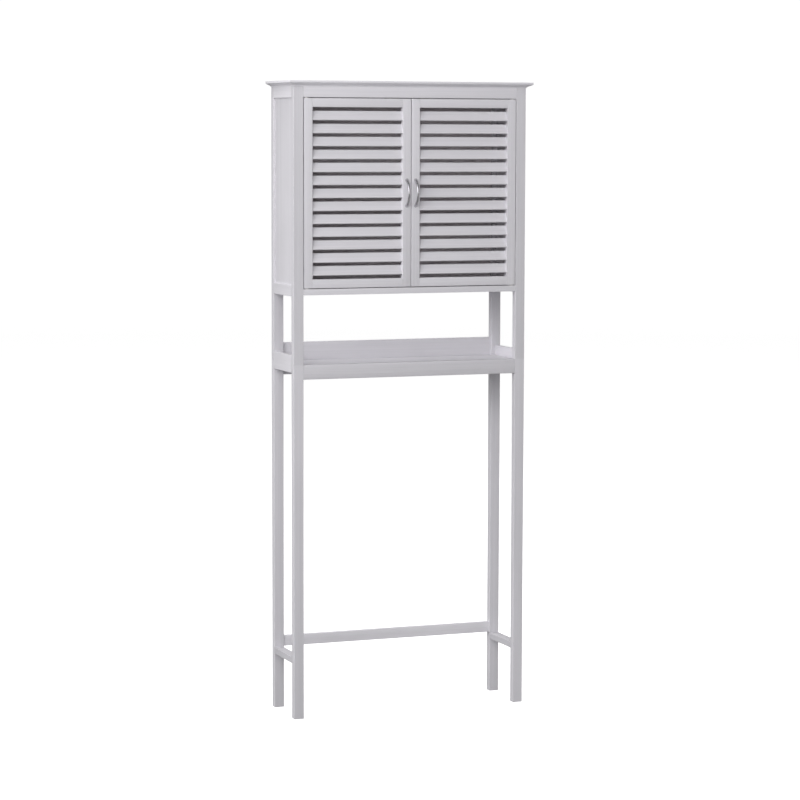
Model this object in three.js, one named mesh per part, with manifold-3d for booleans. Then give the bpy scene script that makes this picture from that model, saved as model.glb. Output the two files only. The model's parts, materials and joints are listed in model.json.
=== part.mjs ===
// Over-the-toilet storage rack: a slim cabinet with two louvred doors and an open shelf on four tall legs.
// Millimetres, +Z up, +X to the right, -Y towards the front. The origin is on the floor, at the middle of the
// whole rack's footprint. Flat faces of neighbouring boards meet; round parts keep FIT of clearance.
import * as THREE from 'three';
import { mergeVertices } from 'three/addons/utils/BufferGeometryUtils.js';
import Module from 'manifold-3d';

// ---- Driving dimensions ----
const HEIGHT = 1700;
const WIDTH = 664; // over the outer faces of the posts
const DEPTH = 186; // from the front face to the back face of the posts
const POST = { wide: 27.5, deep: 20 }; // the flat side faces the front
const FIT = 0.3; // clearance around round parts and where a shaped piece meets a flat one

const CROWN = { thick: 15, overhang: 16, lip: 5.5, quirk: 1.5, sway: 0.4, steps: 10 };
const SEAM_Z = 951; // where each upper post stands on its lower leg
const LEG_BOLT = { radius: 4, length: 60 };

const SIDE_STRETCHER = { bottom: 149, top: 166 };
const REAR_STRETCHER = { bottom: 168, top: 197, thick: 14, setback: 3 };

const SHELF_TOP = 950;
const SHELF = { board: 14, rail: 14, railBottom: 929.5, railTop: 976 };
const SHELF_FRONT = { bottom: 912, thick: 16 };
const SHELF_BACK = { bottom: 912, top: 999, thick: 14 };

const CABINET = { bottom: 1132, floorBottom: 1135.5, floorTop: 1151.5, friezeBottom: 1656 };
const SIDE_RAIL = { thick: 18, height: 30 };
const SIDE_PANEL = { thick: 10, recess: 4 };
const BACK_PANEL = { thick: 4, recess: 8 };
const BACK_RAIL_THICK = 16;

const INNER_SHELF = { top: 1376, thick: 14, sideGap: 2, frontGap: 7, backGap: 1 };
const SHELF_PIN = { radius: 2.5, plug: 8, reach: 8, collar: 4, collarThick: 1.25 };
const PIN_HOLES = { depth: 8.5, spacing: 32, rows: [-2, -1, 0, 1, 2], fromEnd: 15 };

const DOOR = { thick: 16, gap: 2, meetingGap: 2, stile: 23.5, rail: 23.5 };
const LOUVRE = { count: 13, pitch: 34.1, wide: 27, thick: 4.5, tilt: 25, centreDepth: 8.3 };
const LOUVRE_STRIP = { wide: 2, deep: 12 };
const HINGE = { fromEdge: 9, fromFront: 5.2, pinRadius: 2, inDoor: 12, inFrame: 7.5 };
const BUSH = { radius: 3.5, flange: 4.75, flangeThick: 1.2, barrel: 8 };
const HANDLE = { height: 77, reach: 20, bar: 4.5, footHeight: 8.5, wide: 9, fromEdge: 11.75 };
const CATCH = { fromCentre: 30, length: 36, top: 1674, bottom: 1642, spacerBottom: 1658, thick: 12, standoff: 2 };
const STRIKE = { thick: 1.25, height: 10, drop: 0.5 };

// ---- Places worked out from the driving dimensions ----
const outerX = WIDTH / 2;
const bayX = outerX - POST.wide; // half of the clear width between the posts
const backY = (DEPTH + HANDLE.reach) / 2; // the handles are the frontmost pieces, so this centres the footprint
const frontY = backY - DEPTH;
const frontPostBackY = frontY + POST.deep;
const rearPostFrontY = backY - POST.deep;
const postTop = HEIGHT - CROWN.thick;
const sideRailX = outerX - SIDE_RAIL.thick;
const shelfRailX = outerX - SHELF.rail;
const panelOuterX = outerX - SIDE_PANEL.recess;
const panelInnerX = panelOuterX - SIDE_PANEL.thick;
const doorBackY = frontY + DOOR.thick;
const doorOuterX = bayX - DOOR.gap;
const doorInnerX = DOOR.meetingGap / 2;
const doorBottom = CABINET.floorTop + DOOR.gap;
const doorTop = CABINET.friezeBottom - DOOR.gap;
const doorMiddle = (doorBottom + doorTop) / 2;
const hingeX = doorOuterX - HINGE.fromEdge;
const hingeY = frontY + HINGE.fromFront;
const pinHoleYs = [frontPostBackY + PIN_HOLES.fromEnd, rearPostFrontY - PIN_HOLES.fromEnd];
const shelfPinZ = INNER_SHELF.top - INNER_SHELF.thick - 0.25 - SHELF_PIN.radius;

const sides = [['left', -1], ['right', 1]];
const DEGREE = Math.PI / 180;

// ---- Finishes: one new material for each piece ----
const standard = (color, roughness, metalness) => () => new THREE.MeshStandardMaterial({ color, roughness, metalness });
const greyPaint = standard(0xcbcacf, 0.5, 0);
const greyPaintInside = standard(0xc4c3c8, 0.6, 0);
const satinNickel = standard(0xb9b9bb, 0.25, 1);
const zincSteel = standard(0x9fa2a6, 0.4, 1);
const nylon = standard(0xe6e4dd, 0.55, 0);

// ---- Solids and boolean cuts ----
const wasm = await Module();
wasm.setup();

function toSolid(geometry) {
  const bare = geometry.clone();
  bare.deleteAttribute('normal');
  bare.deleteAttribute('uv');
  const merged = mergeVertices(bare, 1e-4);
  const vertProperties = Float32Array.from(merged.attributes.position.array);
  const triVerts = Uint32Array.from(merged.index.array);
  return new wasm.Manifold(new wasm.Mesh({ numProp: 3, vertProperties, triVerts }));
}

function toGeometry(solid) {
  const mesh = solid.getMesh();
  const geometry = new THREE.BufferGeometry();
  geometry.setAttribute('position', new THREE.BufferAttribute(mesh.vertProperties, 3));
  geometry.setIndex(new THREE.BufferAttribute(mesh.triVerts, 1));
  geometry.computeVertexNormals();
  return geometry;
}

const cutFrom = (geometry, tools) =>
  toGeometry(tools.reduce((solid, tool) => solid.subtract(toSolid(tool)), toSolid(geometry)));

const joined = (geometries) =>
  toGeometry(geometries.slice(1).reduce((solid, next) => solid.add(toSolid(next)), toSolid(geometries[0])));

// A box between two limits on each axis; the limits may be given in either order.
function boxGeometry(x, y, z) {
  const size = [x, y, z].map(([a, b]) => Math.abs(b - a));
  const middle = [x, y, z].map(([a, b]) => (a + b) / 2);
  return new THREE.BoxGeometry(...size).translate(...middle);
}

// An upright cylinder between two heights.
const uprightCylinder = (radius, x, y, bottom, top, segments = 16) =>
  new THREE.CylinderGeometry(radius, radius, top - bottom, segments).rotateX(Math.PI / 2)
    .translate(x, y, (bottom + top) / 2);

// A cylinder that runs along X between two places.
const sidewaysCylinder = (radius, fromX, toX, y, z, segments = 12) =>
  new THREE.CylinderGeometry(radius, radius, Math.abs(toX - fromX), segments).rotateZ(Math.PI / 2)
    .translate((fromX + toX) / 2, y, z);

// An outline drawn in Y and Z, run along X.
function runAlongX(outline, fromX, toX, curveSegments = 12) {
  const turn = new THREE.Matrix4().makeBasis(
    new THREE.Vector3(0, 1, 0), new THREE.Vector3(0, 0, 1), new THREE.Vector3(1, 0, 0));
  const depth = Math.abs(toX - fromX);
  return new THREE.ExtrudeGeometry(outline, { depth, bevelEnabled: false, curveSegments })
    .applyMatrix4(turn).translate(Math.min(fromX, toX), 0, 0);
}

// A flat board with any outline in X and Y.
function plate(points, bottom, top) {
  const outline = new THREE.Shape(points.map(([x, y]) => new THREE.Vector2(x, y)));
  return new THREE.ExtrudeGeometry(outline, { depth: top - bottom, bevelEnabled: false }).translate(0, 0, bottom);
}

function piece(name, geometry, finish) {
  const mesh = new THREE.Mesh(geometry, finish());
  mesh.name = name;
  return mesh;
}

const board = (name, x, y, z, finish = greyPaint) => piece(name, boxGeometry(x, y, z), finish);

// ---- Posts, legs and stretchers ----
function postsAndLegs() {
  const pieces = [];
  const ends = [['front', frontY, frontPostBackY], ['rear', rearPostFrontY, backY]];
  const half = LEG_BOLT.length / 2;
  for (const [end, nearY, farY] of ends) {
    for (const [side, sign] of sides) {
      const x = [sign * bayX, sign * outerX];
      const centre = [sign * (outerX - POST.wide / 2), (nearY + farY) / 2];
      const bore = uprightCylinder(
        LEG_BOLT.radius + FIT, ...centre, SEAM_Z - half - FIT, SEAM_Z + half + FIT);
      const leg = boxGeometry(x, [nearY, farY], [0, SEAM_Z]);
      const post = boxGeometry(x, [nearY, farY], [SEAM_Z, postTop]);
      const bolt = uprightCylinder(LEG_BOLT.radius, ...centre, SEAM_Z - half, SEAM_Z + half);
      pieces.push(piece(`${end}_${side}_leg`, cutFrom(leg, [bore]), greyPaint));
      pieces.push(piece(`${end}_${side}_post`, cutFrom(post, [bore]), greyPaint));
      pieces.push(piece(`${end}_${side}_leg_bolt`, bolt, zincSteel));
    }
  }
  return pieces;
}

function stretchers() {
  const between = [frontPostBackY, rearPostFrontY];
  const height = [SIDE_STRETCHER.bottom, SIDE_STRETCHER.top];
  const rearFrontY = rearPostFrontY + REAR_STRETCHER.setback;
  return [
    ...sides.map(([side, sign]) =>
      board(`${side}_stretcher`, [sign * bayX, sign * outerX], between, height)),
    board('rear_stretcher', [-bayX, bayX], [rearFrontY, rearFrontY + REAR_STRETCHER.thick],
      [REAR_STRETCHER.bottom, REAR_STRETCHER.top]),
  ];
}

// ---- Open shelf: a board between two side rails, with a front edge board and a taller back board ----
// Half of a board that is notched around the posts, from its front right corner to its back right corner.
const notchedHalf = (wideX, fromY, toY) => [
  [bayX, fromY], [bayX, frontPostBackY], [wideX, frontPostBackY],
  [wideX, rearPostFrontY], [bayX, rearPostFrontY], [bayX, toY],
];

function notchedBoard(wideX, fromY, toY, bottom, top) {
  const right = notchedHalf(wideX, fromY, toY);
  const left = right.map(([x, y]) => [-x, y]).reverse();
  return plate([...right, ...left], bottom, top);
}

function openShelf() {
  const boardFrontY = frontY + SHELF_FRONT.thick;
  const boardBackY = backY - SHELF_BACK.thick;
  const surface = notchedBoard(shelfRailX, boardFrontY, boardBackY, SHELF_TOP - SHELF.board, SHELF_TOP);
  return [
    piece('shelf_board', surface, greyPaint),
    board('shelf_front_board', [-bayX, bayX], [frontY, boardFrontY], [SHELF_FRONT.bottom, SEAM_Z]),
    board('shelf_back_board', [-bayX, bayX], [boardBackY, backY], [SHELF_BACK.bottom, SHELF_BACK.top]),
    ...sides.map(([side, sign]) =>
      board(`${side}_shelf_rail`, [sign * shelfRailX, sign * outerX], [frontPostBackY, rearPostFrontY],
        [SHELF.railBottom, SHELF.railTop])),
  ];
}

// ---- Cabinet body ----
// The hole in the board above or below a door that takes one hinge bush.
const bushHole = (sign, fromZ, toZ) =>
  uprightCylinder(BUSH.radius + FIT, sign * hingeX, hingeY, fromZ, toZ);

function sidePanel(side, sign) {
  const slab = boxGeometry([sign * panelInnerX, sign * panelOuterX], [frontPostBackY, rearPostFrontY],
    [CABINET.bottom + SIDE_RAIL.height, postTop - SIDE_RAIL.height]);
  const holes = pinHoleYs.flatMap((y) => PIN_HOLES.rows.map((row) =>
    sidewaysCylinder(SHELF_PIN.radius + FIT, sign * (panelInnerX - 1), sign * (panelInnerX + PIN_HOLES.depth),
      y, shelfPinZ + row * PIN_HOLES.spacing)));
  return piece(`${side}_side_panel`, cutFrom(slab, holes), greyPaint);
}

// The crown: a board with a lip over an ogee and a small quirk, around its front and both ends, and a plain back.
function crownGeometry() {
  const { thick, overhang, lip, quirk, sway, steps } = CROWN;
  const rise = thick - lip - quirk;
  const levels = [[quirk, 0]];
  for (let step = 0; step <= steps; step += 1) {
    const along = step / steps;
    const bend = (sway * Math.sin(2 * Math.PI * along)) / (2 * Math.PI);
    levels.push([quirk + (overhang - quirk) * along, quirk + rise * (along + bend)]);
  }
  levels.push([overhang, thick]);

  const positions = levels.flatMap(([out, up]) => {
    const x = outerX + out;
    const z = postTop + up;
    return [-x, frontY - out, z, x, frontY - out, z, x, backY, z, -x, backY, z];
  });
  const faces = [0, 2, 1, 0, 3, 2];
  for (let level = 0; level < levels.length - 1; level += 1) {
    for (let corner = 0; corner < 4; corner += 1) {
      const a = level * 4 + corner;
      const b = level * 4 + ((corner + 1) % 4);
      faces.push(a, b, b + 4, a, b + 4, a + 4);
    }
  }
  const last = (levels.length - 1) * 4;
  faces.push(last, last + 1, last + 2, last, last + 2, last + 3);

  const geometry = new THREE.BufferGeometry();
  geometry.setAttribute('position', new THREE.Float32BufferAttribute(positions, 3));
  geometry.setIndex(faces);
  geometry.computeVertexNormals();
  return geometry;
}

function cabinetBody() {
  const between = [frontPostBackY, rearPostFrontY];
  const floor = notchedBoard(sideRailX, frontY, backY, CABINET.floorBottom, CABINET.floorTop);
  const frieze = boxGeometry([-bayX, bayX], [frontY, doorBackY], [CABINET.friezeBottom, postTop]);
  const holeDepth = BUSH.barrel + 1;
  const floorHoles = sides.map(([, sign]) => bushHole(sign, CABINET.floorTop - holeDepth, CABINET.floorTop + 1));
  const friezeHoles = sides.map(([, sign]) =>
    bushHole(sign, CABINET.friezeBottom - 1, CABINET.friezeBottom + holeDepth));
  const backPanelY = backY - BACK_PANEL.recess - BACK_PANEL.thick;
  return [
    ...sides.flatMap(([side, sign]) => [
      board(`${side}_lower_side_rail`, [sign * sideRailX, sign * outerX], between,
        [CABINET.bottom, CABINET.bottom + SIDE_RAIL.height]),
      board(`${side}_upper_side_rail`, [sign * sideRailX, sign * outerX], between,
        [postTop - SIDE_RAIL.height, postTop]),
      sidePanel(side, sign),
    ]),
    piece('cabinet_floor', cutFrom(floor, floorHoles), greyPaint),
    piece('front_frieze', cutFrom(frieze, friezeHoles), greyPaint),
    board('back_top_rail', [-bayX, bayX], [backY - BACK_RAIL_THICK, backY], [CABINET.friezeBottom, postTop]),
    board('back_panel', [-bayX, bayX], [backPanelY, backPanelY + BACK_PANEL.thick],
      [CABINET.floorTop, CABINET.friezeBottom], greyPaintInside),
    piece('crown_board', crownGeometry(), greyPaint),
  ];
}

// ---- Shelf inside the cabinet, on four plug-in pins ----
function shelfPinGeometry() {
  const { radius, plug, reach, collar, collarThick } = SHELF_PIN;
  const profile = [
    [0, -plug], [radius, -plug], [radius, 0], [collar, 0], [collar, collarThick],
    [radius, collarThick], [radius, reach], [0, reach],
  ];
  return new THREE.LatheGeometry(profile.map(([r, along]) => new THREE.Vector2(r, along)), 12);
}

function innerShelf() {
  const halfLength = panelInnerX - INNER_SHELF.sideGap;
  const shelf = board('inner_shelf', [-halfLength, halfLength],
    [frontPostBackY + INNER_SHELF.frontGap, rearPostFrontY - INNER_SHELF.backGap],
    [INNER_SHELF.top - INNER_SHELF.thick, INNER_SHELF.top], greyPaintInside);
  const pins = [];
  for (const [side, sign] of sides) {
    pinHoleYs.forEach((y, index) => {
      const pin = piece(`${side}_${['front', 'rear'][index]}_shelf_pin`, shelfPinGeometry(), zincSteel);
      pin.rotation.z = sign * 90 * DEGREE; // the head points into the cabinet
      pin.position.set(sign * (panelInnerX - FIT), y, shelfPinZ);
      pins.push(pin);
    });
  }
  return [shelf, ...pins];
}

// ---- Doors: each one is built around its own upright hinge axis ----
// The louvres of one door, held at both ends by a thin strip against each stile.
function louvreSetGeometry(stripAX, stripBX, openingBottom, openingTop, centreY) {
  const slatLength = Math.abs(stripBX - stripAX) - LOUVRE_STRIP.wide;
  const middleX = (stripAX + stripBX) / 2;
  const middleZ = (openingBottom + openingTop) / 2;
  const stripAt = (x) => {
    const inward = x + Math.sign(middleX - x) * LOUVRE_STRIP.wide;
    return boxGeometry([x, inward], [centreY - LOUVRE_STRIP.deep / 2, centreY + LOUVRE_STRIP.deep / 2],
      [openingBottom + FIT, openingTop - FIT]);
  };
  const parts = [stripAt(stripAX), stripAt(stripBX)];
  for (let index = 0; index < LOUVRE.count; index += 1) {
    const z = middleZ + (index - (LOUVRE.count - 1) / 2) * LOUVRE.pitch;
    parts.push(new THREE.BoxGeometry(slatLength, LOUVRE.thick, LOUVRE.wide)
      .rotateX(-LOUVRE.tilt * DEGREE).translate(middleX, centreY, z));
  }
  return joined(parts);
}

// An arched pull seen from the side: two arcs over one foot-to-foot line.
function handleGeometry(centreX, faceY) {
  const arch = (halfSpan, rise) => {
    const radius = (halfSpan ** 2 + rise ** 2) / (2 * rise);
    return { radius, y: faceY - rise + radius, spread: Math.asin(halfSpan / radius) };
  };
  const outer = arch(HANDLE.height / 2, HANDLE.reach - FIT);
  const inner = arch(HANDLE.height / 2 - HANDLE.footHeight, HANDLE.reach - FIT - HANDLE.bar);
  const outline = new THREE.Shape();
  outline.absarc(outer.y, doorMiddle, outer.radius, Math.PI + outer.spread, Math.PI - outer.spread, true);
  outline.absarc(inner.y, doorMiddle, inner.radius, Math.PI - inner.spread, Math.PI + inner.spread, false);
  return runAlongX(outline, centreX - HANDLE.wide / 2, centreX + HANDLE.wide / 2, 14);
}

function door(side, sign) {
  // X grows from the hinge side of the door to its free side, measured from the hinge axis.
  const x = (fromCentre) => sign * (fromCentre - hingeX);
  const face = frontY - hingeY;
  const back = doorBackY - hingeY;
  const hingeStileX = doorOuterX - DOOR.stile;
  const meetingStileX = doorInnerX + DOOR.stile;
  const openingBottom = doorBottom + DOOR.rail;
  const openingTop = doorTop - DOOR.rail;

  const pinSpans = {
    upper: [doorTop - HINGE.inDoor, CABINET.friezeBottom + HINGE.inFrame],
    lower: [CABINET.floorTop - HINGE.inFrame, doorBottom + HINGE.inDoor],
  };
  const pinBores = Object.values(pinSpans).map(([bottom, top]) =>
    uprightCylinder(HINGE.pinRadius + FIT, 0, 0, bottom - FIT, top + FIT));
  const hingeStile = cutFrom(
    boxGeometry([x(hingeStileX), x(doorOuterX)], [face, back], [doorBottom, doorTop]), pinBores);
  const railX = [x(meetingStileX), x(hingeStileX)];
  const louvres = louvreSetGeometry(x(meetingStileX + FIT), x(hingeStileX - FIT), openingBottom, openingTop,
    face + LOUVRE.centreDepth);
  const strikeX = [x(CATCH.fromCentre + 1), x(CATCH.fromCentre + CATCH.length - 1)];
  const strikeTop = doorTop - STRIKE.drop;

  const group = new THREE.Group();
  group.position.set(sign * hingeX, hingeY, 0);
  group.add(
    piece(`${side}_door_hinge_stile`, hingeStile, greyPaint),
    board(`${side}_door_meeting_stile`, [x(doorInnerX), x(meetingStileX)], [face, back], [doorBottom, doorTop]),
    board(`${side}_door_top_rail`, railX, [face, back], [openingTop, doorTop]),
    board(`${side}_door_bottom_rail`, railX, [face, back], [doorBottom, openingBottom]),
    piece(`${side}_door_louvres`, louvres, greyPaint),
    piece(`${side}_door_handle`, handleGeometry(x(doorInnerX + HANDLE.fromEdge), face - FIT), satinNickel),
    board(`${side}_strike_plate`, strikeX, [back, back + STRIKE.thick], [strikeTop - STRIKE.height, strikeTop],
      zincSteel),
    ...Object.entries(pinSpans).map(([end, [bottom, top]]) =>
      piece(`${side}_${end}_hinge_pin`, uprightCylinder(HINGE.pinRadius, 0, 0, bottom, top, 12), zincSteel)),
  );
  return group;
}

// ---- What the cabinet holds for the doors: flanged bushes for the pins and magnetic catches ----
function bushGeometry() {
  const { radius, flange, flangeThick, barrel } = BUSH;
  const bore = HINGE.pinRadius + FIT;
  const profile = [
    [bore, -barrel], [radius, -barrel], [radius, 0], [flange, 0],
    [flange, flangeThick], [bore, flangeThick], [bore, -barrel],
  ];
  return new THREE.LatheGeometry(profile.map(([r, up]) => new THREE.Vector2(r, up)), 16).rotateX(Math.PI / 2);
}

function catchGeometry(sign) {
  const near = doorBackY + CATCH.standoff;
  const far = near + CATCH.thick;
  const outline = new THREE.Shape([
    [doorBackY, CATCH.spacerBottom], [near, CATCH.spacerBottom], [near, CATCH.bottom],
    [far, CATCH.bottom], [far, CATCH.top], [doorBackY, CATCH.top],
  ].map(([y, z]) => new THREE.Vector2(y, z)));
  return runAlongX(outline, sign * CATCH.fromCentre, sign * (CATCH.fromCentre + CATCH.length));
}

function doorFittings() {
  return sides.flatMap(([side, sign]) => {
    const lowerBush = piece(`${side}_lower_hinge_bush`, bushGeometry(), nylon);
    lowerBush.position.set(sign * hingeX, hingeY, CABINET.floorTop + FIT);
    const upperBush = piece(`${side}_upper_hinge_bush`, bushGeometry(), nylon);
    upperBush.rotation.x = Math.PI;
    upperBush.position.set(sign * hingeX, hingeY, CABINET.friezeBottom - FIT);
    return [lowerBush, upperBush, piece(`${side}_magnetic_catch`, catchGeometry(sign), nylon)];
  });
}

// ---- The whole rack ----
const rack = new THREE.Group();
rack.add(
  ...postsAndLegs(),
  ...stretchers(),
  ...openShelf(),
  ...cabinetBody(),
  ...innerShelf(),
  ...doorFittings(),
  ...sides.map(([side, sign]) => door(side, sign)),
);

export default rack;
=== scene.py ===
# Over-the-toilet storage rack: finishes, eased boards, separate louvres, pulls and fittings around the CAD
# frame. Metres, +Z up, +X to the right, -Y towards the front.
import json
import math

import bmesh
import bpy
from mathutils import Matrix, Vector

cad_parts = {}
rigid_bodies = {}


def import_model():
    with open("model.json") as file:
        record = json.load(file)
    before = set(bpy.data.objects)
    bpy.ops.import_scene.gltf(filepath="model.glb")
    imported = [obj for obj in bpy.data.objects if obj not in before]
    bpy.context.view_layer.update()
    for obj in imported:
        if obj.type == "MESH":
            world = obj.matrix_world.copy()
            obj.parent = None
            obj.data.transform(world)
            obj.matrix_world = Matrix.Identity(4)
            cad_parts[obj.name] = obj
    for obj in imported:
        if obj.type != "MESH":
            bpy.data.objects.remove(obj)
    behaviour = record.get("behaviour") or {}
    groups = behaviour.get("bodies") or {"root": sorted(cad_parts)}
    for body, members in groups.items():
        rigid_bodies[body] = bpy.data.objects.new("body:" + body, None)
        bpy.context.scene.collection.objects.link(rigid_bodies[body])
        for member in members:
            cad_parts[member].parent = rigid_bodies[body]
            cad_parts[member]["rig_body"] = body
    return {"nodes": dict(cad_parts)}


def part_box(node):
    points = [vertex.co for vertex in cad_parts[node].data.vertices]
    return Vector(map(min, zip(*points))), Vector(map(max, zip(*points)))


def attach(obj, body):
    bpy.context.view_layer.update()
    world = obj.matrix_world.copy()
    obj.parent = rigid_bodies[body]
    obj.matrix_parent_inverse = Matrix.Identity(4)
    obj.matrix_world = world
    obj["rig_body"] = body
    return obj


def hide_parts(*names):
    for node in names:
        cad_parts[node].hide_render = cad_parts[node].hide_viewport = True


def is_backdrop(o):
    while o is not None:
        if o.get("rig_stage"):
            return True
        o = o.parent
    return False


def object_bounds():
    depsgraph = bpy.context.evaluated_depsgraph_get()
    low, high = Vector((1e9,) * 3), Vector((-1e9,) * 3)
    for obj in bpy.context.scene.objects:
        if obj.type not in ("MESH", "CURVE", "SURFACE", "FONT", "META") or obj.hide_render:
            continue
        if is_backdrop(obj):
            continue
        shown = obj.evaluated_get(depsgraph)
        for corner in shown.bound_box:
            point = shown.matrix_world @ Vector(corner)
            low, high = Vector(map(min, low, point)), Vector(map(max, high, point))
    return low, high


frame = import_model()
cad_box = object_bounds()
MM = 0.001

# ---- Sizes that only the looks need, in metres ----
EASE = 1.1 * MM  # rounding on the free edges of a board
OPEN_JOINT = 0.35 * MM  # hairline where two separate boards meet
PAINTED_JOINT = 0.08 * MM  # joint that was glued and painted over
EDGE_ANGLE = math.radians(35)

LOUVRE_COUNT = 13
LOUVRE = {
    "wide": 27 * MM,
    "thick": 4.5 * MM,
    "edge": 1.4 * MM,  # rounding on the long edges
    "tilt": math.radians(25),  # from upright
    "pitch": 34.1 * MM,
    "from_face": 8.3 * MM,  # from the door's face to a louvre's middle
}

SIDES = ("left", "right")

# Boards treated as glued up before painting, so their joints barely show.
PAINTED_OVER = ("_door_", "_side_rail", "_side_panel", "_shelf_rail", "_stretcher")

METAL_NODES = ("_leg_bolt", "_hinge_pin", "_strike_plate", "_shelf_pin")
NYLON_NODES = ("_hinge_bush", "_magnetic_catch")
SMALL_EASE = 0.3 * MM  # rounding on the edges of metal plates and moulded parts


# ---- Node-tree helpers ----
def new_material(name):
    material = bpy.data.materials.new(name)
    material.use_nodes = True
    tree = material.node_tree
    return material, tree, tree.nodes["Principled BSDF"]


def add(tree, kind, **values):
    node = tree.nodes.new(kind)
    for key, value in values.items():
        setattr(node, key, value)
    return node


def mapped(tree, scale):
    """Object coordinates, in metres, stretched by a scale on each axis."""
    place = add(tree, "ShaderNodeTexCoord")
    stretch = add(tree, "ShaderNodeMapping")
    stretch.inputs["Scale"].default_value = scale
    tree.links.new(place.outputs["Object"], stretch.inputs["Vector"])
    return stretch.outputs["Vector"]


def noise(tree, vector, scale, detail=3.0, roughness=0.55):
    node = add(tree, "ShaderNodeTexNoise")
    node.inputs["Scale"].default_value = scale
    node.inputs["Detail"].default_value = detail
    node.inputs["Roughness"].default_value = roughness
    tree.links.new(vector, node.inputs["Vector"])
    return node.outputs["Fac"]


def spread(tree, value, low, high):
    """Stretches the middle of a noise's range over low to high."""
    node = add(tree, "ShaderNodeMapRange")
    node.inputs["From Min"].default_value = 0.3
    node.inputs["From Max"].default_value = 0.7
    node.inputs["To Min"].default_value = low
    node.inputs["To Max"].default_value = high
    tree.links.new(value, node.inputs["Value"])
    return node.outputs["Result"]


def combine(tree, operation, first, second):
    node = add(tree, "ShaderNodeMath", operation=operation)
    for socket, value in zip(node.inputs, (first, second)):
        if isinstance(value, (int, float)):
            socket.default_value = value
        else:
            tree.links.new(value, socket)
    return node.outputs["Value"]


def tinted(tree, colour, factor):
    """A colour made lighter or darker by a factor from the nodes."""
    node = add(tree, "ShaderNodeVectorMath", operation="SCALE")
    node.inputs[0].default_value = colour
    tree.links.new(factor, node.inputs["Scale"])
    return node.outputs["Vector"]


def bumped(tree, shader, height, distance):
    node = add(tree, "ShaderNodeBump")
    node.inputs["Strength"].default_value = 1.0
    node.inputs["Distance"].default_value = distance
    tree.links.new(height, node.inputs["Height"])
    tree.links.new(node.outputs["Normal"], shader.inputs["Normal"])


# ---- Materials ----
GREY_PAINT = (0.745, 0.73, 0.77)
GREY_ROUGHNESS = 0.46
INSIDE_PAINT = (0.71, 0.66, 0.68)
INSIDE_ROUGHNESS = 0.6
NICKEL_COLOUR = (0.62, 0.61, 0.64)
ZINC_COLOUR = (0.50, 0.51, 0.53)


def along(axis, lengthwise, crosswise):
    """A scale for each axis, small along the grain and large across it."""
    return tuple(lengthwise if index == axis else crosswise for index in range(3))


def paint(name, colour, axis, roughness):
    """Satin paint over wood: open grain shows through as fine long streaks, over broad soft brush marks."""
    material, tree, shader = new_material(name)
    fine = noise(tree, mapped(tree, along(axis, 3.0, 420.0)), 1.0, 5.0, 0.6)
    broad = noise(tree, mapped(tree, along(axis, 1.2, 75.0)), 1.0, 3.0, 0.5)
    cloud = noise(tree, mapped(tree, (1, 1, 1)), 7.0, 2.0, 0.5)
    stipple = noise(tree, mapped(tree, (1, 1, 1)), 900.0, 2.0, 0.5)
    streaks = combine(tree, "MULTIPLY", spread(tree, fine, 0.962, 1.028),
                      spread(tree, broad, 0.966, 1.027))
    shade = combine(tree, "MULTIPLY", streaks, spread(tree, cloud, 0.985, 1.012))
    tree.links.new(tinted(tree, colour, shade), shader.inputs["Base Color"])
    gloss = combine(tree, "ADD", spread(tree, fine, -0.05, 0.05),
                    spread(tree, cloud, roughness - 0.04, roughness + 0.05))
    tree.links.new(gloss, shader.inputs["Roughness"])
    height = combine(tree, "ADD", spread(tree, fine, 0.0, 1.0), spread(tree, stipple, 0.0, 0.35))
    bumped(tree, shader, height, 0.06 * MM)
    return material


def satin_nickel():
    material, tree, shader = new_material("satin_nickel")
    brushed = noise(tree, mapped(tree, (900, 900, 60)), 1.0, 3.0, 0.6)
    smudge = noise(tree, mapped(tree, (1, 1, 1)), 60.0, 3.0, 0.5)
    colour = tinted(tree, NICKEL_COLOUR, spread(tree, smudge, 0.93, 1.05))
    tree.links.new(colour, shader.inputs["Base Color"])
    shader.inputs["Metallic"].default_value = 1.0
    gloss = combine(tree, "ADD", spread(tree, brushed, 0.0, 0.06), spread(tree, smudge, 0.16, 0.24))
    tree.links.new(gloss, shader.inputs["Roughness"])
    bumped(tree, shader, brushed, 0.01 * MM)
    return material


def zinc_steel():
    material, tree, shader = new_material("zinc_steel")
    mottle = noise(tree, mapped(tree, (1, 1, 1)), 350.0, 4.0, 0.65)
    colour = tinted(tree, ZINC_COLOUR, spread(tree, mottle, 0.8, 1.12))
    tree.links.new(colour, shader.inputs["Base Color"])
    shader.inputs["Metallic"].default_value = 1.0
    tree.links.new(spread(tree, mottle, 0.28, 0.46), shader.inputs["Roughness"])
    bumped(tree, shader, mottle, 0.02 * MM)
    return material


def moulded(name, colour, roughness):
    """Moulded plastic with a fine grain."""
    material, tree, shader = new_material(name)
    grain = noise(tree, mapped(tree, (1, 1, 1)), 1400.0, 2.0, 0.5)
    cloud = noise(tree, mapped(tree, (1, 1, 1)), 45.0, 2.0, 0.5)
    tree.links.new(tinted(tree, colour, spread(tree, cloud, 0.96, 1.03)), shader.inputs["Base Color"])
    tree.links.new(spread(tree, grain, roughness - 0.05, roughness + 0.06), shader.inputs["Roughness"])
    bumped(tree, shader, grain, 0.02 * MM)
    return material


AXES = ("crosswise", "deepwise", "upright")

# A few tones of the one grey, as factors on its colour: partly the boards' own paint tone, partly painted
# light and shade. The doors are the even tone.
TONES_AND_PAINTED_LIGHT = {"bright": 1.2, "light": 1.15, "pale": 1.05, "even": 1.0, "soft": 0.95, "dim": 0.9, "deep": 0.85}

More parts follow.
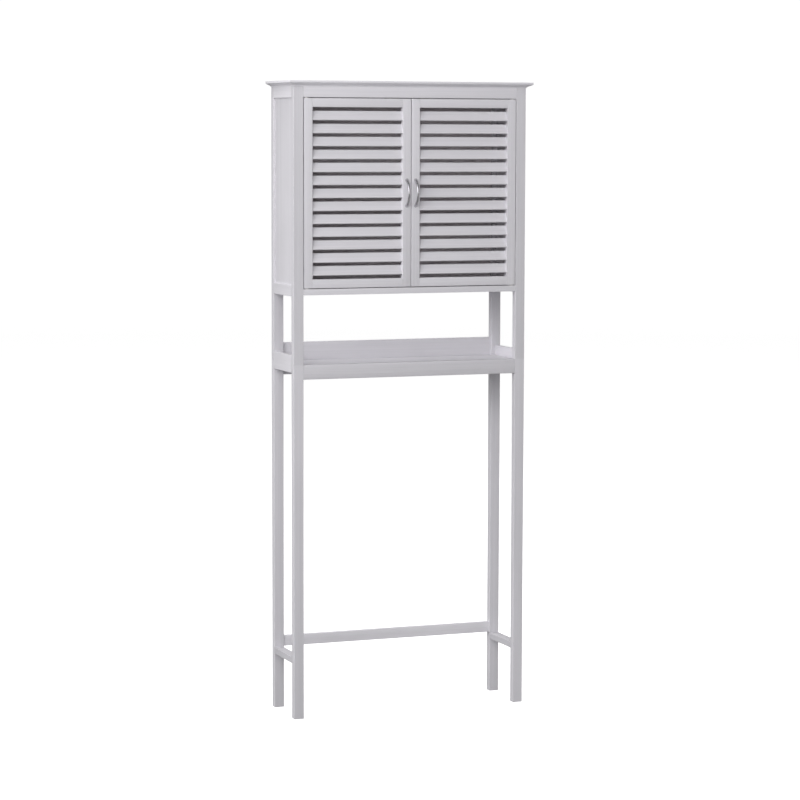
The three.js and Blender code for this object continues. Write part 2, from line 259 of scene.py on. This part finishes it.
# The tone of each sub-assembly, partly its paint's own tone and partly painted light and shade: the crown
# is lightened as painted light against the shade under its moulding, and the stretchers other than the rear
# one are darkened as painted shade under the shelf. The first line with a word that is part of the board's
# name counts.
BOARD_TONES_AND_PAINTED_LIGHT = (
    ("light", ("crown_board",)),
    ("pale", ("frieze", "upper_side_rail", "cabinet_floor", "rear_stretcher")),
    ("deep", ("_stretcher",)),
    ("soft", ("_leg", "side_panel", "shelf_board")),
    ("dim", ("_post", "shelf_front_board", "shelf_back_board")),
)

# Faces with painted light of their own: the board, the way the faces look, the tone. The crown's underside
# is painted lighter than the rest of the crown, and the front left post's outer side lighter than its
# front, as light falls on them.
FACE_PAINTED_LIGHT = (
    ("crown_board", (0, 0, -1), "bright"),
    ("front_left_post", (-1, 0, 0), "soft"),
)
PAINTS = {}


# Looks up a board's tone, which for some boards is painted light or painted shade.
def tone_and_painted_light_of(board):
    for tone, words in BOARD_TONES_AND_PAINTED_LIGHT:
        if any(word in board for word in words):
            return tone
    return "even"


def grey_paint(tone, axis):
    """Grey paint of one tone, for some boards and faces painted light and shade, with its grain along one
    axis, shared by the boards that need it.
    """
    key = f"grey_paint_{tone}_{AXES[axis]}"
    if key not in PAINTS:
        colour = tuple(channel * TONES_AND_PAINTED_LIGHT[tone] for channel in GREY_PAINT)
        PAINTS[key] = paint(key, colour, axis, GREY_ROUGHNESS)
    return PAINTS[key]


INSIDE_PAINTS = [paint(f"inside_paint_{name}", INSIDE_PAINT, axis, INSIDE_ROUGHNESS)
                 for axis, name in enumerate(AXES)]
NICKEL = satin_nickel()
ZINC = zinc_steel()
NYLON = moulded("nylon", (0.72, 0.70, 0.66), 0.5)
CREAM = moulded("cream_plastic", (0.70, 0.68, 0.64), 0.42)


def finish_with(piece, material):
    piece.data.materials.clear()
    piece.data.materials.append(material)


def longest_axis(node):
    low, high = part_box(node)
    size = high - low
    return max(range(3), key=lambda index: size[index])


# ---- New pieces ----
def link(name, mesh_builder, material, body, replaced=()):
    mesh = bpy.data.meshes.new(name)
    mesh_builder.to_mesh(mesh)
    mesh_builder.free()
    piece = bpy.data.objects.new(name, mesh)
    bpy.context.scene.collection.objects.link(piece)
    for polygon in mesh.polygons:
        polygon.use_smooth = True
    finish_with(piece, material)
    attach(piece, body)
    if replaced:
        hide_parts(*replaced)
    return piece


def weighted_bevel(piece, width, segments=3):
    bevel = piece.modifiers.new("eased_edges", "BEVEL")
    bevel.width = width
    bevel.segments = segments
    bevel.limit_method = "WEIGHT"
    bevel.harden_normals = True
    return bevel


def body_of_node(node):
    return frame["nodes"][node]["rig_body"]


BOARDS = [name for name in frame["nodes"]
          if not name.endswith(METAL_NODES + NYLON_NODES + ("_louvres", "_handle"))]
BOXES = {name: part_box(name) for name in BOARDS}


def inside_box(point, corners):
    low, high = corners
    return all(low[index] < point[index] < high[index] for index in range(3))


def touching_share(edge, neighbours):
    """How much of an edge runs against another board, from 0 to 1."""
    outside, inside = 0.4 * MM, 0.8 * MM  # from the edge, past one face and back behind the other
    samples = 9
    start, end = (vertex.co for vertex in edge.verts)
    normals = [face.normal for face in edge.link_faces]
    hits = 0
    for step in range(samples):
        middle = start.lerp(end, (step + 0.5) / samples)
        for outward, other in (normals, normals[::-1]):
            probe = middle + outward * outside - other * inside
            if any(inside_box(probe, corners) for corners in neighbours):
                hits += 1
                break
    return hits / samples


def clean_copy(node):
    """The node's own mesh, with flat faces made whole again."""
    builder = bmesh.new()
    builder.from_mesh(frame["nodes"][node].data)
    bmesh.ops.remove_doubles(builder, verts=builder.verts, dist=0.005 * MM)
    bmesh.ops.dissolve_limit(builder, angle_limit=math.radians(1), verts=builder.verts, edges=builder.edges)
    builder.normal_update()
    return builder


def paint_light_on_faces(piece, node, axis):
    """Gives the faces listed for this board their own lighter copy of the paint, as painted light for how
    light falls on them.
    """
    for board, way, tone in FACE_PAINTED_LIGHT:
        if board != node:
            continue
        piece.data.materials.append(grey_paint(tone, axis))
        for polygon in piece.data.polygons:
            polygon.material_index = 1 if polygon.normal.dot(way) > 0.3 else 0


def eased_board(node):
    """The same board with its free edges rounded and its joints left as hairlines."""
    body = body_of_node(node)
    neighbours = [BOXES[other] for other in BOARDS if other != node and body_of_node(other) == body]
    builder = clean_copy(node)
    weights = builder.edges.layers.float.new("bevel_weight_edge")
    joint = PAINTED_JOINT if any(word in node for word in PAINTED_OVER) else OPEN_JOINT
    for edge in builder.edges:
        if len(edge.link_faces) != 2 or edge.calc_face_angle() < EDGE_ANGLE:
            continue
        joined = touching_share(edge, neighbours) > 0.6
        edge[weights] = joint / EASE if joined else 1.0
    inside = node in ("back_panel", "inner_shelf")
    axis = longest_axis(node)
    # The grey's tone here carries painted light and shade as well as the paint's own tone.
    material = INSIDE_PAINTS[axis] if inside else grey_paint(tone_and_painted_light_of(node), axis)
    piece = link(f"{node}_finished", builder, material, body, [node])
    # Painted light on single faces of a board.
    paint_light_on_faces(piece, node, axis)
    weighted_bevel(piece, EASE)


for board in BOARDS:
    eased_board(board)


# ---- Louvres ----
def plain_slat(length, wide, thick):
    """A slat along X, with its four long edges marked for rounding."""
    builder = bmesh.new()
    bmesh.ops.create_cube(builder, size=1)
    builder.transform(Matrix.Diagonal((length, thick, wide, 1)))
    weights = builder.edges.layers.float.new("bevel_weight_edge")
    for edge in builder.edges:
        run = edge.verts[0].co - edge.verts[1].co
        lengthwise = abs(run.x) > abs(run.y) + abs(run.z)
        edge[weights] = 1.0 if lengthwise else 0.0
        edge.smooth = lengthwise
    return builder


def louvres(side):
    low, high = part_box(f"{side}_door_louvres")
    stile_low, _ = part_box(f"{side}_door_hinge_stile")
    centre = Vector(((low.x + high.x) / 2, stile_low.y + LOUVRE["from_face"], (low.z + high.z) / 2))
    let_in = 0.25 * MM  # each end runs this far into its stile
    length = high.x - low.x + 2 * let_in
    for index in range(LOUVRE_COUNT):
        up = (index - (LOUVRE_COUNT - 1) / 2) * LOUVRE["pitch"]
        builder = plain_slat(length, LOUVRE["wide"], LOUVRE["thick"])
        place = Matrix.Translation(centre + Vector((0, 0, up))) @ Matrix.Rotation(-LOUVRE["tilt"], 4, "X")
        builder.transform(place)
        slat = link(f"{side}_louvre_{index + 1:02d}", builder, grey_paint(tone_and_painted_light_of("louvre"), 0),
                    f"{side}_door", [f"{side}_door_louvres"])
        weighted_bevel(slat, LOUVRE["edge"], 4)


for side in SIDES:
    louvres(side)


# ---- Arched pulls ----
def pull(side):
    """A bow whose section swells from a slim middle to flat feet on the door."""
    node = f"{side}_door_handle"
    low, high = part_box(node)
    door_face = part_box(f"{side}_door_meeting_stile")[0].y
    middle_x = (low.x + high.x) / 2
    middle_z = (low.z + high.z) / 2
    foot_high, bar_thick = 8.5 * MM, 4.6 * MM
    wide_foot, slim = high.x - low.x, 5.0 * MM
    outer = (high.z - low.z) / 2, door_face - low.y
    inner = outer[0] - foot_high, outer[1] - bar_thick
    rings, around = 48, 24
    flare, squareness = 2.2, 0.75  # how late the bar widens towards its feet, how full its section is

    def on_arch(half_span, rise, share):
        radius = (half_span ** 2 + rise ** 2) / (2 * rise)
        angle = math.asin(half_span / radius) * share
        out = radius * math.cos(angle) - (radius - rise)
        return Vector((0, door_face - out, middle_z + radius * math.sin(angle)))

    builder = bmesh.new()
    loops = []
    for ring in range(rings + 1):
        share = -1 + 2 * ring / rings
        far, near = on_arch(*outer, share), on_arch(*inner, share)
        centre, half_thick = (far + near) / 2, (far - near) / 2
        half_wide = (slim + (wide_foot - slim) * abs(share) ** flare) / 2
        loop = []
        for step in range(around):
            angle = 2 * math.pi * step / around
            cosine, sine = math.cos(angle), math.sin(angle)
            across = math.copysign(abs(cosine) ** squareness, cosine) * half_wide
            point = centre + half_thick * math.copysign(abs(sine) ** squareness, sine)
            loop.append(builder.verts.new(point + Vector((middle_x + across, 0, 0))))
        loops.append(loop)
    for first, second in zip(loops, loops[1:]):
        for step in range(around):
            following = (step + 1) % around
            builder.faces.new((first[step], first[following], second[following], second[step]))
    builder.faces.new(loops[0])
    builder.faces.new(loops[-1])
    bmesh.ops.recalc_face_normals(builder, faces=builder.faces)
    link(f"{side}_pull", builder, NICKEL, f"{side}_door", [node])


for side in SIDES:
    pull(side)


# ---- Turned parts: bolts, pins, bushes, screws and tacks ----
def turned(profile, around=32):
    """A part turned on a lathe about Z; the profile lists radius and height, and may close on itself."""
    builder = bmesh.new()
    closed = profile[0] == profile[-1]
    rings = []
    for radius, height in profile[:-1] if closed else profile:
        count = around if radius else 1
        angles = [2 * math.pi * step / count for step in range(count)]
        rings.append([builder.verts.new((radius * math.cos(angle), radius * math.sin(angle), height))
                      for angle in angles])
    for first, second in zip(rings, rings[1:] + (rings[:1] if closed else [])):
        for step in range(around):
            following = (step + 1) % around
            corners = [first[step % len(first)], first[following % len(first)],
                       second[following % len(second)], second[step % len(second)]]
            builder.faces.new(list(dict.fromkeys(corners)))
    bmesh.ops.recalc_face_normals(builder, faces=builder.faces)
    return builder


def aimed(direction, point):
    """Turns +Z towards a direction and moves the origin to a point."""
    turn = Vector((0, 0, 1)).rotation_difference(Vector(direction))
    return Matrix.Translation(point) @ turn.to_matrix().to_4x4()


def turned_piece(name, profile, direction, point, material, body, replaced=(), around=32):
    builder = turned(profile, around)
    builder.transform(aimed(direction, point))
    piece = link(name, builder, material, body, replaced)
    piece.data.set_sharp_from_angle(angle=EDGE_ANGLE)
    return piece


def middle_of(node):
    low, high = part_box(node)
    return (low + high) / 2


def rod_profile(radius, length, chamfer):
    """A plain round rod with chamfered ends, centred on its own middle."""
    half = length / 2
    return [(0, -half), (radius - chamfer, -half), (radius, chamfer - half),
            (radius, half - chamfer), (radius - chamfer, half), (0, half)]


def threaded_profile(radius, length, pitch, depth):
    """A rod with a thread cut all along it, drawn as close rings."""
    half = length / 2
    turns = int((length - 2 * pitch) / pitch)
    profile = [(0, -half), (radius - 2 * depth, -half)]
    for index in range(turns):
        start = -half + pitch * (index + 1)
        profile.append((radius - depth, start))
        profile.append((radius, start + pitch * 0.5))
    profile.append((radius - depth, half - pitch))
    profile.append((radius - 2 * depth, half))
    profile.append((0, half))
    return profile


def leg_bolts():
    """Threaded rods that hold each post on its leg."""
    pitch, depth = 2.0 * MM, 0.5 * MM
    for node in [name for name in frame["nodes"] if name.endswith("_leg_bolt")]:
        low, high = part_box(node)
        profile = threaded_profile((high.x - low.x) / 2, high.z - low.z, pitch, depth)
        turned_piece(f"{node}_threaded", profile, (0, 0, 1), middle_of(node), ZINC, body_of_node(node),
                     [node], 24)


def hinge_pins():
    chamfer = 0.4 * MM
    for node in [name for name in frame["nodes"] if name.endswith("_hinge_pin")]:
        low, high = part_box(node)
        profile = rod_profile((high.x - low.x) / 2, high.z - low.z, chamfer)
        turned_piece(f"{node}_turned", profile, (0, 0, 1), middle_of(node), ZINC, body_of_node(node),
                     [node])


def hinge_bushes():
    """Nylon bushes: a barrel in the board and a flange that the door turns against."""
    bore, radius, flange, thick, ease = 2.3 * MM, 3.5 * MM, 4.75 * MM, 1.2 * MM, 0.25 * MM
    for node in [name for name in frame["nodes"] if name.endswith("_hinge_bush")]:
        low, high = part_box(node)
        barrel = high.z - low.z - thick
        upward = 1 if "_lower_" in node else -1
        flange_seat = middle_of(node)
        flange_seat.z = high.z - thick if upward == 1 else low.z + thick
        profile = [(bore, -barrel), (radius - ease, -barrel), (radius, ease - barrel), (radius, 0),
                   (flange, 0), (flange, thick - ease), (flange - ease, thick), (bore + ease, thick),
                   (bore, thick - ease), (bore, -barrel)]
        turned_piece(f"{node}_moulded", profile, (0, 0, upward), flange_seat, NYLON, body_of_node(node),
                     [node], 36)


def shelf_pins():
    """Plug-in pins: a plug in the panel, a collar against it and a round-nosed peg under the shelf."""
    radius, collar, thick, ease = 2.5 * MM, 4.0 * MM, 1.25 * MM, 0.3 * MM
    nose, steps = 1.2 * MM, 4
    for node in [name for name in frame["nodes"] if name.endswith("_shelf_pin")]:
        low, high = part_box(node)
        inward = 1 if middle_of(node).x < 0 else -1
        half = (high.x - low.x) / 2
        profile = [(0, -half), (radius - ease, -half), (radius, ease - half), (radius, 0),
                   (collar - ease, 0), (collar, ease), (collar, thick - ease), (collar - ease, thick),
                   (radius, thick)]
        for step in range(steps + 1):
            angle = math.radians(90 * step / steps)
            profile.append((radius * math.cos(angle) if step < steps else 0,
                            half - nose * (1 - math.sin(angle))))
        turned_piece(f"{node}_turned", profile, (inward, 0, 0), middle_of(node), ZINC, body_of_node(node),
                     [node])


def cross_recess(piece, direction, point, width, depth):
    """Cuts the cross for a screwdriver into a screw head, and yields the cutters."""
    slimness, skew = 0.24, 20  # a slot's width over its length, and the cross's turn in degrees
    for turn in (0, 90):
        builder = bmesh.new()
        bmesh.ops.create_cube(builder, size=1)
        builder.transform(Matrix.Diagonal((width, width * slimness, depth * 2, 1)))
        builder.transform(aimed(direction, point) @ Matrix.Rotation(math.radians(turn + skew), 4, "Z"))
        mesh = bpy.data.meshes.new(f"{piece.name}_slot_{turn}")
        builder.to_mesh(mesh)
        builder.free()
        cutter = bpy.data.objects.new(mesh.name, mesh)
        bpy.context.scene.collection.objects.link(cutter)
        cut = piece.modifiers.new(f"slot_{turn}", "BOOLEAN")
        cut.object = cutter
        cut.solver = "EXACT"
        yield cutter


def screw(name, point, direction, radius, rise, body):
    """A domed screw head standing on a surface, with a short shank sunk below it."""
    steps = 6
    shank, sunk, seat, rim = radius * 0.45, 2.5 * MM, 0.05 * MM, 0.35  # the rim is a share of the rise
    profile = [(0, -sunk), (shank, -sunk), (shank, -seat), (radius, -seat), (radius, rise * rim)]
    for step in range(1, steps + 1):
        angle = math.radians(90 * step / steps)
        profile.append((radius * math.cos(angle) if step < steps else 0,
                        rise * (rim + (1 - rim) * math.sin(angle))))
    builder = turned(profile, 28)
    builder.transform(aimed(direction, point))
    piece = link(name, builder, ZINC, body)
    top = Vector(point) + Vector(direction).normalized() * rise
    cutters = list(cross_recess(piece, direction, top, radius * 1.25, rise * 0.55))
    bpy.context.view_layer.update()
    cut_mesh = bpy.data.meshes.new_from_object(piece.evaluated_get(bpy.context.evaluated_depsgraph_get()))
    piece.modifiers.clear()
    piece.data = cut_mesh
    piece.data.set_sharp_from_angle(angle=EDGE_ANGLE)
    for cutter in cutters:
        bpy.data.objects.remove(cutter)


def fitted_copy(node, ending, material):
    """A plate or moulded block from the CAD with its edges softened."""
    builder = clean_copy(node)
    weights = builder.edges.layers.float.new("bevel_weight_edge")
    for edge in builder.edges:
        if len(edge.link_faces) == 2 and edge.calc_face_angle() > EDGE_ANGLE:
            edge[weights] = 1.0
    piece = link(f"{node}_{ending}", builder, material, body_of_node(node), [node])
    weighted_bevel(piece, SMALL_EASE)


def small_box(name, low, high, material, body, ease):
    builder = bmesh.new()
    bmesh.ops.create_cube(builder, size=1)
    size = Vector(high) - Vector(low)
    builder.transform(Matrix.Translation((Vector(low) + Vector(high)) / 2) @ Matrix.Diagonal((*size, 1)))
    weights = builder.edges.layers.float.new("bevel_weight_edge")
    for edge in builder.edges:
        edge[weights] = 1.0
    piece = link(name, builder, material, body)
    weighted_bevel(piece, ease)


def door_catch(side):
    """A magnetic catch: block, two steel poles over the strike plate, and the screws of both halves."""
    block, plate = f"{side}_magnetic_catch", f"{side}_strike_plate"
    fitted_copy(block, "moulded", CREAM)
    fitted_copy(plate, "pressed", ZINC)
    _, block_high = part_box(block)
    plate_low, plate_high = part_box(plate)
    middle_x = middle_of(block).x
    pole = {
        "half_long": 10 * MM,
        "deep": 4 * MM,
        "half_thick": 0.75 * MM,
        "gap": 0.2 * MM,  # between the poles and the plate
        "ease": 0.15 * MM,
    }
    face_y = plate_high.y + pole["gap"]
    for index, height in enumerate((0.25, 0.72)):
        z = plate_low.z + (plate_high.z - plate_low.z) * height
        low = (middle_x - pole["half_long"], face_y, z - pole["half_thick"])
        high = (middle_x + pole["half_long"], face_y + pole["deep"], z + pole["half_thick"])
        small_box(f"{side}_catch_pole_{index + 1}", low, high, ZINC, "frame", pole["ease"])
    for index, offset in enumerate((-11 * MM, 11 * MM)):
        place = (middle_x + offset, block_high.y, block_high.z - 8 * MM)
        screw(f"{side}_catch_screw_{index + 1}", place, (0, 1, 0), 3.0 * MM, 1.6 * MM, "frame")
    for index, offset in enumerate((-14 * MM, 14 * MM)):
        place = (middle_x + offset, plate_high.y, middle_of(plate).z)
        screw(f"{side}_strike_screw_{index + 1}", place, (0, 1, 0), 2.2 * MM, 0.5 * MM, f"{side}_door")


def pull_screws(side):
    """Two screws through the meeting stile hold the feet of each pull."""
    low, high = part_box(f"{side}_door_handle")
    _, stile_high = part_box(f"{side}_door_meeting_stile")
    from_end = 4.5 * MM
    for name, z in (("upper", high.z - from_end), ("lower", low.z + from_end)):
        place = ((low.x + high.x) / 2, stile_high.y, z)
        screw(f"{side}_{name}_pull_screw", place, (0, 1, 0), 3.1 * MM, 1.9 * MM, f"{side}_door")


def back_beads():
    """Slim beads around the back panel, each held by tacks."""
    low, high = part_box("back_panel")
    wide, deep, ease = 7 * MM, 6 * MM, 0.8 * MM
    tacks = 6
    tack_head = [(0, -1.5 * MM), (0.9 * MM, -1.5 * MM), (0.9 * MM, 0), (1.4 * MM, 0), (1.3 * MM, 0.25 * MM),
                 (0.8 * MM, 0.45 * MM), (0, 0.5 * MM)]
    upright = grey_paint("even", 2)
    level = grey_paint("even", 0)
    beads = (
        ("left_back_bead", (low.x, low.z), (low.x + wide, high.z), upright),
        ("right_back_bead", (high.x - wide, low.z), (high.x, high.z), upright),
        ("lower_back_bead", (low.x + wide, low.z), (high.x - wide, low.z + wide), level),
        ("upper_back_bead", (low.x + wide, high.z - wide), (high.x - wide, high.z), level),
    )
    for name, (x0, z0), (x1, z1), material in beads:
        small_box(name, (x0, high.y, z0), (x1, high.y + deep, z1), material, "frame", ease)
        across = x1 - x0 > z1 - z0
        for index in range(tacks):
            share = (index + 0.5) / tacks
            x = x0 + (x1 - x0) * share if across else (x0 + x1) / 2
            z = (z0 + z1) / 2 if across else z0 + (z1 - z0) * share
            turned_piece(f"{name}_tack_{index + 1}", tack_head, (0, 1, 0), (x, high.y + deep, z), ZINC,
                         "frame", (), 16)


leg_bolts()
hinge_pins()
hinge_bushes()
shelf_pins()
back_beads()
for side in SIDES:
    door_catch(side)
    pull_screws(side)


# ---- Floor, light and camera ----
def studio_floor():
    """A round pale floor whose rim curves up into a pale wall."""
    builder = bmesh.new()
    radius, bend, height, around, steps = 14.0, 3.0, 12.0, 96, 16
    profile = [(0, 0), (radius, 0)]
    for step in range(1, steps + 1):
        angle = math.radians(90 * step / steps)
        profile.append((radius + bend * math.sin(angle), bend * (1 - math.cos(angle))))
    profile.append((radius + bend, height))
    rings = []
    for out, up in profile:
        count = around if out else 1
        angles = [2 * math.pi * step / count for step in range(count)]
        rings.append([builder.verts.new((out * math.cos(angle), out * math.sin(angle), up))
                      for angle in angles])
    for first, second in zip(rings, rings[1:]):
        for step in range(around):
            following = (step + 1) % around
            corners = [first[step % len(first)], second[step], second[following],
                       first[following % len(first)]]
            builder.faces.new(list(dict.fromkeys(corners)))
    mesh = bpy.data.meshes.new("studio_floor")
    builder.to_mesh(mesh)
    builder.free()
    floor = bpy.data.objects.new("studio_floor", mesh)
    bpy.context.scene.collection.objects.link(floor)
    for polygon in mesh.polygons:
        polygon.use_smooth = True
    material, _, shader = new_material("pale_floor")
    shader.inputs["Base Color"].default_value = (0.9, 0.9, 0.9, 1)
    shader.inputs["Roughness"].default_value = 0.9
    shader.inputs["Emission Color"].default_value = (1, 1, 1, 1)
    shader.inputs["Emission Strength"].default_value = 0.75
    finish_with(floor, material)
    floor.visible_diffuse = False
    floor.visible_glossy = False
    floor.visible_shadow = False
    floor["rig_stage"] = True


def soft_light(name, place, target, size, power):
    light = bpy.data.lights.new(name, "AREA")
    light.shape = "RECTANGLE"
    light.size, light.size_y = size
    light.energy = power
    lamp = bpy.data.objects.new(name, light)
    lamp.location = place
    lamp.rotation_mode = "QUATERNION"
    lamp.rotation_quaternion = (Vector(target) - Vector(place)).to_track_quat("-Z", "Y")
    lamp.visible_camera = False
    bpy.context.scene.collection.objects.link(lamp)


def studio_light():
    """Two large soft boxes at the left, smaller fills, and light from behind and from the right."""
    middle = (0, 0, 1)
    soft_light("front_softbox", (-2.3, -5.5, 2.9), middle, (5.2, 3.9), 110)
    soft_light("left_softbox", (-5.5, -2.3, 2.9), middle, (5.2, 3.9), 170)
    soft_light("upper_left", (-2.6, -3.1, 3.9), middle, (3, 3), 40)
    soft_light("low_left", (-3.5, -1.7, 1.6), middle, (1.1, 0.8), 15)
    soft_light("low_right", (0.55, -0.6, 0.05), (0.32, 0, 0.1), (0.3, 0.2), 0.3)
    soft_light("back_ceiling", (0, 2, 4.5), (0, 2, 0), (6, 3), 100)
    soft_light("right_fill", (4.5, 1.2, 1.6), middle, (3, 3), 80)
    world = bpy.data.worlds.new("studio")
    bpy.context.scene.world = world
    world.use_nodes = True
    world.node_tree.nodes["Background"].inputs["Color"].default_value = (1, 1, 1, 1)
    world.node_tree.nodes["Background"].inputs["Strength"].default_value = 0.25


def camera():
    """The eye stands 21 degrees round to the left of the rack and looks about 5.5 degrees down."""
    turn, down, roll = math.radians(21.18), math.radians(5.46), math.radians(0.146)
    forward = Vector((math.sin(turn) * math.cos(down), math.cos(turn) * math.cos(down), -math.sin(down)))
    right = Vector((math.cos(turn), -math.sin(turn), 0))
    up = right.cross(forward)
    level_right = right * math.cos(roll) + up * math.sin(roll)
    level_up = up * math.cos(roll) - right * math.sin(roll)
    lens = bpy.data.cameras.new("camera")
    lens.sensor_width = 36
    lens.lens = 121.5
    lens.shift_x, lens.shift_y = -0.0062, -0.0054
    lens.clip_end = 100
    eye = bpy.data.objects.new("camera", lens)
    eye.matrix_world = Matrix.Translation((-2.6266, -6.8183, 1.5510)) @ Matrix(
        (level_right, level_up, -forward)).transposed().to_4x4()
    bpy.context.scene.collection.objects.link(eye)
    bpy.context.scene.camera = eye


studio_floor()
studio_light()
camera()
bpy.context.scene.view_settings.view_transform = "Standard"

[[list(corner) for corner in box] for box in (cad_box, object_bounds())]
